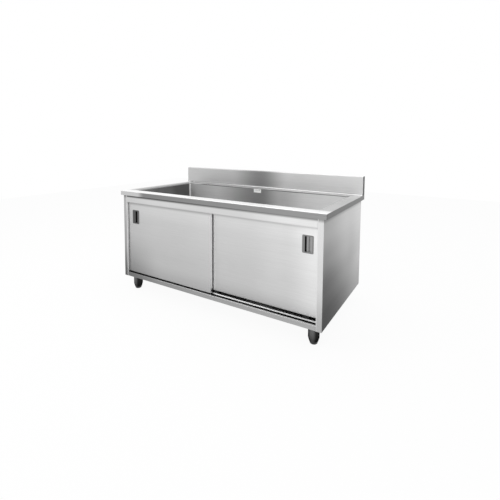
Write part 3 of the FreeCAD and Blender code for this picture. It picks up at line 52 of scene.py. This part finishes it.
class Signal:
    """A number that varies over a surface; arithmetic on it adds nodes to its finish."""

    def __init__(self, finish, socket):
        self.finish = finish
        self.socket = socket

    def maths(self, operation, first, second):
        return self.finish.add("ShaderNodeMath", {"operation": operation}, {0: first, 1: second})

    def __add__(self, other):
        return self.maths("ADD", self, other)

    def __radd__(self, other):
        return self.maths("ADD", other, self)

    def __sub__(self, other):
        return self.maths("SUBTRACT", self, other)

    def __rsub__(self, other):
        return self.maths("SUBTRACT", other, self)

    def __mul__(self, other):
        return self.maths("MULTIPLY", self, other)

    def __rmul__(self, other):
        return self.maths("MULTIPLY", other, self)

    def size(self):
        return self.maths("ABSOLUTE", self, 0.0)

    def power(self, exponent):
        return self.maths("POWER", self, exponent)

    def above(self, limit):
        return self.maths("GREATER_THAN", self, limit)

    def most(self, other):
        return self.maths("MAXIMUM", self, other)

    def ramp(self, *stops):
        """From each (place, value) stop to the next, with a smooth rise or fall between them."""
        result = stops[0][1]
        for (start, low), (end, high) in zip(stops, stops[1:]):
            if low != high:
                result = result + self.step(start, end) * (high - low)
        return result

    def blend(self, other, share):
        """This value where the share is 0, the other one where it is 1."""
        return self + (other - self) * share

    def step(self, start, end):
        """0 before start, 1 after end, with a smooth rise between them."""
        return self.finish.add(
            "ShaderNodeMapRange",
            {"interpolation_type": "SMOOTHSTEP"},
            {"Value": self, "From Min": start, "From Max": end, "To Min": 0.0, "To Max": 1.0},
        )


class Finish:
    """A material and the nodes that make it."""

    def __init__(self, name):
        self.material = bpy.data.materials.new(name)
        self.material.use_nodes = True
        self.tree = self.material.node_tree
        self.tree.nodes.clear()
        coordinates = self.node("ShaderNodeTexCoord")
        self.place = coordinates.outputs["Object"]
        split = self.node("ShaderNodeSeparateXYZ", {}, {"Vector": self.place})
        self.x, self.y, self.z = (Signal(self, split.outputs[axis]) for axis in "XYZ")
        facing = self.node("ShaderNodeSeparateXYZ", {}, {"Vector": coordinates.outputs["Normal"]})
        self.facing_x, self.facing_y = (Signal(self, facing.outputs[axis]) for axis in "XY")

    def node(self, kind, settings=None, values=None):
        """Any node: its settings first, then a value or a link for each named socket."""
        made = self.tree.nodes.new(kind)
        for key, value in (settings or {}).items():
            setattr(made, key, value)
        for key, value in (values or {}).items():
            socket = made.inputs[key]
            if isinstance(value, Signal):
                self.tree.links.new(value.socket, socket)
            elif isinstance(value, bpy.types.NodeSocket):
                self.tree.links.new(value, socket)
            else:
                socket.default_value = value
        return made

    def add(self, kind, settings, values, output=0):
        return Signal(self, self.node(kind, settings, values).outputs[output])

    def noise(self, scale, stretch=(1.0, 1.0, 1.0), detail=3.0, roughness=0.55):
        """Noise from 0 to 1, with its pattern drawn out along the axes of small stretch."""
        mapped = self.node("ShaderNodeMapping", {}, {"Vector": self.place, "Scale": stretch})
        values = {"Vector": mapped.outputs[0], "Scale": scale, "Detail": detail, "Roughness": roughness}
        return self.add("ShaderNodeTexNoise", {}, values, "Fac")

    def grey(self, level):
        """A neutral colour from one number."""
        values = {"Red": level, "Green": level, "Blue": level}
        return self.node("ShaderNodeCombineColor", {}, values).outputs[0]

    def tint(self, level, colour):
        """A colour made lighter or darker by a number."""
        made = self.node("ShaderNodeMix", {"data_type": "RGBA", "blend_type": "MULTIPLY"})
        made.inputs["Factor"].default_value = 1.0
        self.tree.links.new(self.grey(level), made.inputs["A"])
        made.inputs["B"].default_value = (*colour, 1.0)
        return made.outputs["Result"]

    def bump(self, height, distance, strength=1.0):
        values = {"Height": height, "Distance": distance, "Strength": strength}
        return self.node("ShaderNodeBump", {}, values).outputs[0]

    def shade(self, colour, roughness, metallic=0.0, normal=None, **fixed):
        """The surface itself; fixed values go on the shader's own sockets."""
        values = {"Base Color": colour, "Roughness": roughness, "Metallic": metallic}
        if normal is not None:
            values["Normal"] = normal
        for key, value in fixed.items():
            values[key.replace("_", " ").title().replace("Ior", "IOR")] = value
        shader = self.node("ShaderNodeBsdfPrincipled", {}, values)
        self.node("ShaderNodeOutputMaterial", {}, {"Surface": shader.outputs[0]})
        return self.material


def even(level):
    """The same tone all over a piece."""
    return lambda _: level


DRAWN = 0.012
GRAIN = {
    "X": (DRAWN, 1.0, 1.0),
    "Y": (1.0, DRAWN, 1.0),
    "Z": (1.0, 1.0, DRAWN),
}
FULL = 255.0
DISPLAY_POWER = 2.2
LINE_HEIGHT = 0.00002
SPECK_HEIGHT = 0.00004


def satin_steel(name, grain, tone, roughness=0.34, depth=0.5, metallic=0.92, **fixed):
    """Brushed steel: fine drawn lines, a slow cloudiness, and the tone of the piece from 0 to 255, which
    for most pieces holds painted light and shade.
    """
    finish = Finish(name)
    fine = finish.noise(900.0, GRAIN[grain], 2.0)
    broad = finish.noise(160.0, GRAIN[grain], 3.0)
    cloud = finish.noise(3.5, detail=2.0)
    lines = (fine - 0.5) * 0.08 + (broad - 0.5) * 0.05 + (cloud - 0.5) * 0.03
    # The tone, painted light and shade included, goes into the base colour.
    level = (lines + 1.0) * tone(finish) * (1.0 / FULL)
    colour = finish.grey(level.power(DISPLAY_POWER))
    rough = (broad - 0.5) * 0.14 + (cloud - 0.5) * 0.06 + roughness
    normal = finish.bump(fine, LINE_HEIGHT, depth)
    return finish.shade(colour, rough, metallic, normal, **fixed)


def moulded(name, colour, roughness, grain=0.06):
    """Moulded plastic or rubber with a faint texture."""
    finish = Finish(name)
    fine = finish.noise(1400.0, detail=2.0)
    cloud = finish.noise(22.0, detail=2.0)
    level = 1.0 + (fine - 0.5) * grain * 2 + (cloud - 0.5) * grain * 2
    normal = finish.bump(fine, SPECK_HEIGHT, 0.5)
    rough = roughness + (cloud - 0.5) * 0.12
    return finish.shade(finish.tint(level, colour), rough, 0.0, normal)


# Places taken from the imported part

COLLAR = 0.012

guard_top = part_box("upstand")[1].z
case_low, case_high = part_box("side_panel_right")
door_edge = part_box("door_skin_left")[1]
pull_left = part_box("pull_left")[0]
pull_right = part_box("pull_right")[0]
rail_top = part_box("base_rail")[1].z
track_low, track_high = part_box("bottom_track")
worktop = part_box("bowl")[1].z + COLLAR


# Painted light and shade on the sheet metal: how light each face looks, from 0 to 255, along its axes in
# metres

FACING = 0.7
SHEET = 0.0015
# Width of the painted reflection of the front door's edge on the rear door.
PAINTED_REFLECTION_WIDTH = 0.032
# Height where the painted shadow under the worktop is darkest.
WORKTOP_UNDERSIDE = 0.812
STILE_INNER = 0.844
BOWL_SIDE = 0.82


def door_painted_light(finish):
    """Door skin with painted light and shade: lighter to the right and upwards, a painted shadow of the
    head rail along the top, and painted shade darkest in the lower left corner.
    """
    across = finish.x.ramp((-0.84, 196), (-0.50, 201), (0.30, 210), (0.60, 219), (0.84, 242))
    up = finish.z.ramp((0.16, 0.91), (0.30, 0.995), (0.60, 1.035), (0.725, 1.085), (0.752, 0.90))
    corner = (1.0 - finish.x.step(-0.84, -0.45)) * (1.0 - finish.z.step(0.17, 0.50))
    face = across * up * (1.0 - corner * 0.16)
    # Painted highlights: the folded edges are painted lighter, and so is the rear door where it mirrors the
    # front one's edge, as a painted reflection.
    folded = finish.facing_x.size().above(FACING)
    painted_edge_reflection = (1.0 - finish.x.step(door_edge.x, door_edge.x + PAINTED_REFLECTION_WIDTH)) * finish.y.above(door_edge.y)
    return face.blend(250, folded.most(painted_edge_reflection * 0.8))


def stile_painted_light(finish):
    """The front fold of a side panel with painted light: the left stile painted darker than the right,
    lighter upwards, in a painted shadow of the worktop at its top, with painted shade on the left stile's
    outer edge, strongest low down.
    """
    left = finish.z.ramp((0.12, 108), (0.42, 174), (0.72, 190))
    right = finish.z.ramp((0.12, 190), (0.42, 232), (0.72, 238))
    shadow = 1.0 - finish.z.step(0.785, WORKTOP_UNDERSIDE) * 0.30
    corner = (1.0 - finish.x.step(-0.877, -0.868)) * finish.z.ramp((0.12, 0.40), (0.45, 0.12))
    return left.blend(right, finish.x.step(-0.5, 0.5)) * shadow * (1.0 - corner)


def side_painted_light(finish):
    """The outside of a side panel with painted light: painted shade darkest at the front near the floor, a
    painted highlight on its low front edge and a painted shadow under the worktop.
    """
    rear = finish.z.ramp((0.12, 186), (0.40, 220), (0.75, 240))
    # Painted shade, deepest low down and towards the front.
    dip = finish.z.ramp((0.14, 0.80), (0.36, 0.60), (0.56, 0.35), (0.72, 0.24))
    low = finish.y.ramp((-0.50, 1.0), (0.46, 0.0))
    high = finish.y.ramp((-0.46, 1.0), (0.10, 0.30), (0.46, 0.0))
    along = low + (high - low) * finish.z.step(0.22, 0.50)
    shadow = 1.0 - finish.z.step(0.775, WORKTOP_UNDERSIDE) * 0.30
    front_edge = 1.0 - finish.y.step(-0.434, -0.424)
    painted_edge_highlight = front_edge * (1.0 - finish.z.step(0.25, 0.55)) * 60
    return (rear * (1.0 - dip * along) + painted_edge_highlight) * shadow


def panel_painted_light(finish):
    """A side panel with its front stile, the stile's inner return and the fold at the rear, each with
    painted light: the inner return a near-white painted highlight, the rear fold painted mid grey.
    """
    front = 1.0 - finish.y.step(case_low.y + SHEET, case_low.y + 2 * SHEET)
    inner = 1.0 - finish.x.size().step(STILE_INNER - SHEET, STILE_INNER + SHEET)
    rear_fold = finish.facing_y.above(FACING) * finish.y.above(0.4)
    level = side_painted_light(finish) * (1.0 - front) + stile_painted_light(finish) * front
    level = level.blend(196, rear_fold)
    return level * (1.0 - inner) + inner * 250


def rail_painted_light(finish):
    """Head rail and base rail with painted light: lighter to the right, a painted shadow under the worktop,
    painted shade on the head rail's lower fold, and the base rail painted darker to the left.
    """
    head = finish.x.ramp((-0.84, 213), (-0.5, 222), (0.2, 223), (0.7, 244))
    shadow = 1.0 - finish.z.step(0.792, 0.811) * finish.x.ramp((-0.84, 0.66), (0.84, 0.40))
    fold = 1.0 - (1.0 - finish.z.step(0.756, 0.764)) * 0.07
    base = finish.x.ramp((-0.84, 122), (-0.4, 158), (0.1, 172), (0.84, 184))
    upper = finish.z.step(0.4, 0.6)
    return head * shadow * fold * upper + base * (1.0 - upper)


def track_painted_light(finish):
    """Bottom track with painted light and shade: painted shade in the grooves and on the front lip, the
    ridge between the lanes painted light at its foot and dark at its crest.
    """
    groove = 1.0 - finish.z.step(rail_top - 0.0035, rail_top - 0.0005)
    lip = 1.0 - finish.y.step(track_low.y + SHEET, track_low.y + SHEET + 0.001)
    ridge = finish.z.step(rail_top + 0.001, rail_top + 0.003)
    crest = finish.z.step(track_high.z - 0.004, track_high.z - 0.001)
    level = (205 + ridge * 45) * (1.0 - crest * 0.75)
    return level * (1.0 - groove.most(lip) * 0.88)


def pull_painted_light(finish):
    """Flush pull with painted light: painted shade, nearly black, in the undercut behind its finger edge,
    grey on the flange and in the hollow, the right pull painted lighter than the left.
    """
    side = finish.x.above(0.0)
    left_depth = (finish.y - pull_left.y) * (1.0 - side)
    right_depth = (finish.y - pull_right.y) * side
    depth = left_depth + right_depth
    deep = depth.step(0.0075, 0.0105)
    rim = 1.0 - depth.step(0.0008, 0.0014)
    hollow = 96 + side * 74
    flange = 112 + side * 30
    level = hollow + (flange - hollow) * rim
    undercut = 1.0 - finish.x.step(pull_right.x + 0.017, pull_right.x + 0.030)
    shaded = deep * (1.0 - side) + deep * side * undercut
    return level * (1.0 - shaded * 0.85)


def leg_painted_light(finish):
    """Polished tube with painted light: dark, with a painted highlight to the front and the rear, and
    painted darker towards the floor.
    """
    painted_highlight_stripe = finish.facing_y.size().step(0.70, 1.0)
    up = finish.z.ramp((0.02, 0.72), (0.09, 1.0), (0.122, 1.25))
    return (46 + painted_highlight_stripe * 62) * up


def deck_painted_light(finish):
    """Worktop with painted light: bright top, painted shade in greyer strips at the sides of the bowl, a
    turned-down edge painted darker, a rear rim painted dark in the middle, and a painted highlight in the
    cove at the upstand's foot.
    """
    top = finish.z.step(worktop - 2 * SHEET, worktop - 0.0005)
    rear = finish.y.step(0.325, 0.34) * (1.0 - finish.x.size().step(0.81, 0.85))
    rim = finish.x.ramp((-0.9, 174), (-0.55, 168), (-0.20, 142), (-0.05, 130), (0.25, 154), (0.8, 168))
    # Painted highlight along the cove at the foot of the upstand.
    painted_cove_highlight = finish.x.ramp((-0.5, 172), (-0.1, 184), (0.3, 206), (0.8, 204))
    rim = rim.blend(painted_cove_highlight, finish.y.step(0.392, 0.403))
    left = 1.0 - finish.x.step(-BOWL_SIDE - 0.005, -BOWL_SIDE + 0.005)
    right = finish.x.step(BOWL_SIDE - 0.005, BOWL_SIDE + 0.005)
    behind = finish.y.step(-0.40, -0.33)
    left_shade = finish.x.ramp((-0.90, 30), (-0.82, 118))
    right_shade = finish.y.ramp((-0.40, 0), (-0.33, 62), (0.0, 58), (0.35, 34))
    sides = left * behind * left_shade + right * right_shade
    level = (248 - sides) * (1.0 - rear) + rim * rear
    level = level + left * rear * 40
    # Painted light and shade on the turned-down edge: light at the far left, darker elsewhere, darkest on
    # the right end.
    edge = finish.x.ramp((-0.70, 206), (-0.62, 138), (0.1, 150), (0.9, 162))
    right_edge = finish.x.step(0.897, 0.899)
    edge = edge - right_edge * (60 + finish.y.step(0.42, 0.445) * 40)
    return level * top + edge * (1.0 - top)


def bowl_painted_light(finish):
    """Bowl with painted light: rear wall painted darkest in the middle, left wall in painted shade with a
    painted light corner behind it.
    """
    across = finish.x.ramp((-0.80, 200), (-0.50, 204), (0.0, 134), (0.22, 194), (0.45, 222), (0.82, 224))
    corner = 1.0 - (finish.x + BOWL_SIDE).step(0.004, 0.022)
    wall = 1.0 - finish.x.step(-BOWL_SIDE - SHEET, -BOWL_SIDE + SHEET)
    side = finish.y.ramp((-0.36, 104), (-0.10, 42), (0.05, 34), (0.15, 0))
    rear = finish.y.step(0.325, 0.335)
    level = across + corner * rear * 70
    return level * (1.0 - wall) + side * wall


def guard_painted_light(finish):
    """Upstand with painted reflections: darkest at the middle, and a painted highlight a little lighter
    along its top.
    """
    across = finish.x.ramp((-0.90, 192), (-0.35, 192), (-0.03, 138), (0.26, 214), (0.9, 220))
    top = finish.z.step(guard_top - 0.012, guard_top - 0.002)
    return across + top * 14


def cap_painted_light(finish):
    """End caps of the upstand with painted shade: dark, painted lighter to the rear."""
    return finish.y.ramp((0.405, 60), (0.45, 110))


# Most steel finishes carry painted light and shade in their tones; the rear panel, mill finish, zinc
# bracket and polished fitting have one even tone.
DECK = satin_steel("deck satin with painted light", "X", deck_painted_light, 0.30)
GUARD = satin_steel("upstand satin with painted light", "X", guard_painted_light, 0.40, metallic=0.65)
CAP = satin_steel("upstand end satin with painted light", "Z", cap_painted_light, 0.34, specular_tint=(0.7, 0.7, 0.7, 1.0))
BOWL = satin_steel("bowl satin with painted light", "X", bowl_painted_light, 0.42, metallic=0.5)
CASE = satin_steel("cabinet satin with painted light", "X", rail_painted_light, 0.36)
SIDE = satin_steel("cabinet side satin with painted light", "Y", panel_painted_light, 0.36, specular_tint=(0.8, 0.8, 0.8, 1.0))
REAR_SHEET = satin_steel("rear panel satin", "X", even(190), 0.38)
DOOR = satin_steel("door satin with painted light", "X", door_painted_light, 0.38)
INNER = satin_steel("mill finish", "X", even(150), 0.45)
TRACK = satin_steel("drawn track with painted light", "X", track_painted_light, 0.34)
PULL = satin_steel("pressed pull with painted light", "Z", pull_painted_light, 0.30)
BRACKET = satin_steel("zinc bracket", "X", even(165), 0.42)
BRIGHT = satin_steel("polished fitting", "X", even(240), 0.16, 0.2)
LEG = satin_steel("leg tube with painted light", "Z", leg_painted_light, 0.24, 0.2, specular_tint=(0.35, 0.35, 0.35, 1.0))
NYLON = moulded("nylon", (0.74, 0.73, 0.68), 0.45)
BLACK_NYLON = moulded("black nylon", (0.035, 0.035, 0.036), 0.42)
FOOT = moulded("foot plastic", (0.012, 0.012, 0.013), 0.35)
WHITE = moulded("white cover", (0.93, 0.93, 0.92), 0.30, 0.01)
PIPE = moulded("trap plastic", (0.62, 0.62, 0.60), 0.38)
RUBBER = moulded("black rubber", (0.02, 0.02, 0.02), 0.65)

FINISHES = {
    "deck_steel": DECK,
    "bowl_steel": BOWL,
    "case_steel": CASE,
    "inner_steel": INNER,
    "track_steel": TRACK,
    "door_steel": DOOR,
    "pull_steel": PULL,
    "bracket_steel": BRACKET,
    "nylon": NYLON,
    "bright_steel": BRIGHT,
    "leg_steel": LEG,
    "foot_plastic": FOOT,
    "trap_plastic": PIPE,
    "rubber": RUBBER,
}


def dress(node, material):
    """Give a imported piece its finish."""
    for place in nodes[node].material_slots:
        place.material = material


for part in frame["record"]["subparts"]:
    dress(part["node"], FINISHES[part["material_slot"]])
dress("upstand", GUARD)
dress("rear_panel", REAR_SHEET)
dress("overflow_cover", WHITE)
for name in ("door_guides_left", "door_guides_right"):
    dress(name, BLACK_NYLON)
for name in ("upstand_cap_left", "upstand_cap_right"):
    dress(name, CAP)
for name in ("side_panel_left", "side_panel_right"):
    dress(name, SIDE)


# Spot welds: shallow domes where the folded sheets are joined

def weld_tree():
    """Geometry nodes that set one flattened dome on every point of the piece."""
    tree = bpy.data.node_groups.new("spot_welds", "GeometryNodeTree")
    face = tree.interface
    face.new_socket("Points", in_out="INPUT", socket_type="NodeSocketGeometry")
    face.new_socket("Spread", in_out="INPUT", socket_type="NodeSocketVector")
    face.new_socket("Finish", in_out="INPUT", socket_type="NodeSocketMaterial")
    face.new_socket("Welds", in_out="OUTPUT", socket_type="NodeSocketGeometry")
    start = tree.nodes.new("NodeGroupInput")
    dome = tree.nodes.new("GeometryNodeMeshUVSphere")
    dome.inputs["Segments"].default_value = 16
    dome.inputs["Rings"].default_value = 8
    dome.inputs["Radius"].default_value = 1.0
    rows = tree.nodes.new("GeometryNodeInstanceOnPoints")
    real = tree.nodes.new("GeometryNodeRealizeInstances")
    finish = tree.nodes.new("GeometryNodeSetMaterial")
    end = tree.nodes.new("NodeGroupOutput")
    tree.links.new(start.outputs["Points"], rows.inputs["Points"])
    tree.links.new(dome.outputs["Mesh"], rows.inputs["Instance"])
    tree.links.new(start.outputs["Spread"], rows.inputs["Scale"])
    tree.links.new(rows.outputs["Instances"], real.inputs["Geometry"])
    tree.links.new(real.outputs["Geometry"], finish.inputs["Geometry"])
    tree.links.new(start.outputs["Finish"], finish.inputs["Material"])
    tree.links.new(finish.outputs["Geometry"], end.inputs["Welds"])
    return tree


def weld_row(name, tree, points, spread, material):
    """A row of spot welds that belongs to the cabinet."""
    mesh = bpy.data.meshes.new(name + "_points")
    mesh.from_pydata(points, [], [])
    row = bpy.data.objects.new(name, mesh)
    scene.collection.objects.link(row)
    welding = row.modifiers.new("spot welds", "NODES")
    welding.node_group = tree
    sockets = {item.name: item.identifier for item in tree.interface.items_tree if item.in_out == "INPUT"}
    welding[sockets["Spread"]] = spread
    welding[sockets["Finish"]] = material
    state = bpy.context.evaluated_depsgraph_get()
    made = bpy.data.meshes.new_from_object(row.evaluated_get(state))
    row.modifiers.clear()
    made.name = name
    row.data = made
    for polygon in made.polygons:
        polygon.use_smooth = True
    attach(row, "cabinet")


def spaced(start, end, pitch):
    """Evenly spaced places from start to end, about a pitch apart."""
    count = max(2, round((end - start) / pitch) + 1)
    return [start + (end - start) * step / (count - 1) for step in range(count)]


WELD_RADIUS = 0.0032
WELD_RISE = 0.0003
SHELF_TOP = 0.148
FOLD_MIDDLE = 0.0125
CHANNEL_EDGE = 0.014

fold_x = case_high.x - FOLD_MIDDLE
fold_heights = spaced(0.165, 0.795, 0.07)
fold_points = [(side * fold_x, case_high.y, z) for side in (-1, 1) for z in fold_heights]
channel_boxes = [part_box("base_channel_front"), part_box("base_channel_rear")]
channel_lines = [high.y - CHANNEL_EDGE for _, high in channel_boxes]
shelf_points = [(x, y, SHELF_TOP) for y in channel_lines for x in spaced(-0.80, 0.80, 0.08)]
on_fold = (WELD_RADIUS, WELD_RISE, WELD_RADIUS)
on_shelf = (WELD_RADIUS, WELD_RADIUS, WELD_RISE)
welds = weld_tree()
weld_row("rear_fold_welds", welds, fold_points, on_fold, SIDE)
weld_row("shelf_welds", welds, shelf_points, on_shelf, INNER)


# Studio

def studio_surface(name, colour, keep_shadow):
    """Pale surface that shows white to the camera and in reflections, with its shadows kept in part."""
    finish = Finish(name)
    diffuse = finish.node("ShaderNodeBsdfDiffuse", {}, {"Color": (colour, colour, colour, 1.0)})
    path = finish.node("ShaderNodeLightPath")
    strength = 1.0 - Signal(finish, path.outputs["Is Glossy Ray"]) * 0.15
    glow = finish.node("ShaderNodeEmission", {}, {"Color": (1.0, 1.0, 1.0, 1.0), "Strength": strength})
    seen = Signal(finish, path.outputs["Is Camera Ray"]).most(Signal(finish, path.outputs["Is Glossy Ray"]))
    seen = seen.most(Signal(finish, path.outputs["Is Transmission Ray"]))
    mixed = finish.node("ShaderNodeMixShader", {}, {"Fac": seen * (1.0 - keep_shadow)})
    finish.tree.links.new(diffuse.outputs[0], mixed.inputs[1])
    finish.tree.links.new(glow.outputs[0], mixed.inputs[2])
    finish.node("ShaderNodeOutputMaterial", {}, {"Surface": mixed.outputs[0]})
    return finish.material


def make_floor(size):
    """A square floor under the feet, attached to no body of the part."""
    mesh = bpy.data.meshes.new("studio_floor")
    half = size / 2
    corners = [(-half, -half, 0.0), (half, -half, 0.0), (half, half, 0.0), (-half, half, 0.0)]
    mesh.from_pydata(corners, [], [(0, 1, 2, 3)])
    floor = bpy.data.objects.new("studio_floor", mesh)
    scene.collection.objects.link(floor)
    mesh.materials.append(studio_surface("studio floor", 0.85, 0.06))


def make_world(level):
    """A white world, dimmer as a light than it looks to the camera and in reflections."""
    world = bpy.data.worlds.new("studio")
    world.use_nodes = True
    tree = world.node_tree
    tree.nodes.clear()
    path = tree.nodes.new("ShaderNodeLightPath")
    seen = tree.nodes.new("ShaderNodeMath")
    seen.operation = "MAXIMUM"
    tree.links.new(path.outputs["Is Camera Ray"], seen.inputs[0])
    tree.links.new(path.outputs["Is Glossy Ray"], seen.inputs[1])
    strength = tree.nodes.new("ShaderNodeMapRange")
    tree.links.new(seen.outputs[0], strength.inputs["Value"])
    strength.inputs["To Min"].default_value = level
    strength.inputs["To Max"].default_value = 1.0
    light = tree.nodes.new("ShaderNodeBackground")
    light.inputs["Color"].default_value = (1.0, 1.0, 1.0, 1.0)
    tree.links.new(strength.outputs[0], light.inputs["Strength"])
    output = tree.nodes.new("ShaderNodeOutputWorld")
    tree.links.new(light.outputs[0], output.inputs["Surface"])
    scene.world = world


def make_lamp(name, place, target, size, power):
    """A square lamp turned towards its target."""
    lamp = bpy.data.lights.new(name, "AREA")
    lamp.shape = "SQUARE"
    lamp.size = size
    lamp.energy = power
    stand = bpy.data.objects.new(name, lamp)
    stand.location = place
    stand.rotation_euler = (Vector(target) - Vector(place)).to_track_quat("-Z", "Y").to_euler()
    scene.collection.objects.link(stand)


make_floor(14.0)
make_world(0.75)
make_lamp("key", (-2.2, -3.2, 3.4), (0.0, 0.0, 0.5), 2.5, 60.0)
make_lamp("top", (0.3, 0.2, 3.8), (0.0, 0.0, 0.8), 3.0, 40.0)


# Camera at the photograph's viewpoint

CAMERA_PLACE = Vector((1.5476, -2.3813, 1.2549))
CAMERA_TURN = math.radians(31.23)
CAMERA_DIP = math.radians(4.22)
CAMERA_ROLL = math.radians(0.39)
CAMERA_LENS = 25.06
AXIS_ROW = 169.0
FRAME_SIDE = 500.0

lens = bpy.data.cameras.new("camera")
lens.sensor_width = 36.0
lens.lens = CAMERA_LENS
lens.shift_y = (AXIS_ROW - FRAME_SIDE / 2) / FRAME_SIDE
camera = bpy.data.objects.new("camera", lens)
turn = Matrix.Rotation(CAMERA_TURN, 4, "Z")
dip = Matrix.Rotation(math.pi / 2 - CAMERA_DIP, 4, "X")
roll = Matrix.Rotation(CAMERA_ROLL, 4, "Z")
camera.matrix_world = Matrix.Translation(CAMERA_PLACE) @ turn @ dip @ roll
scene.collection.objects.link(camera)
scene.camera = camera

scene.view_settings.view_transform = "Standard"
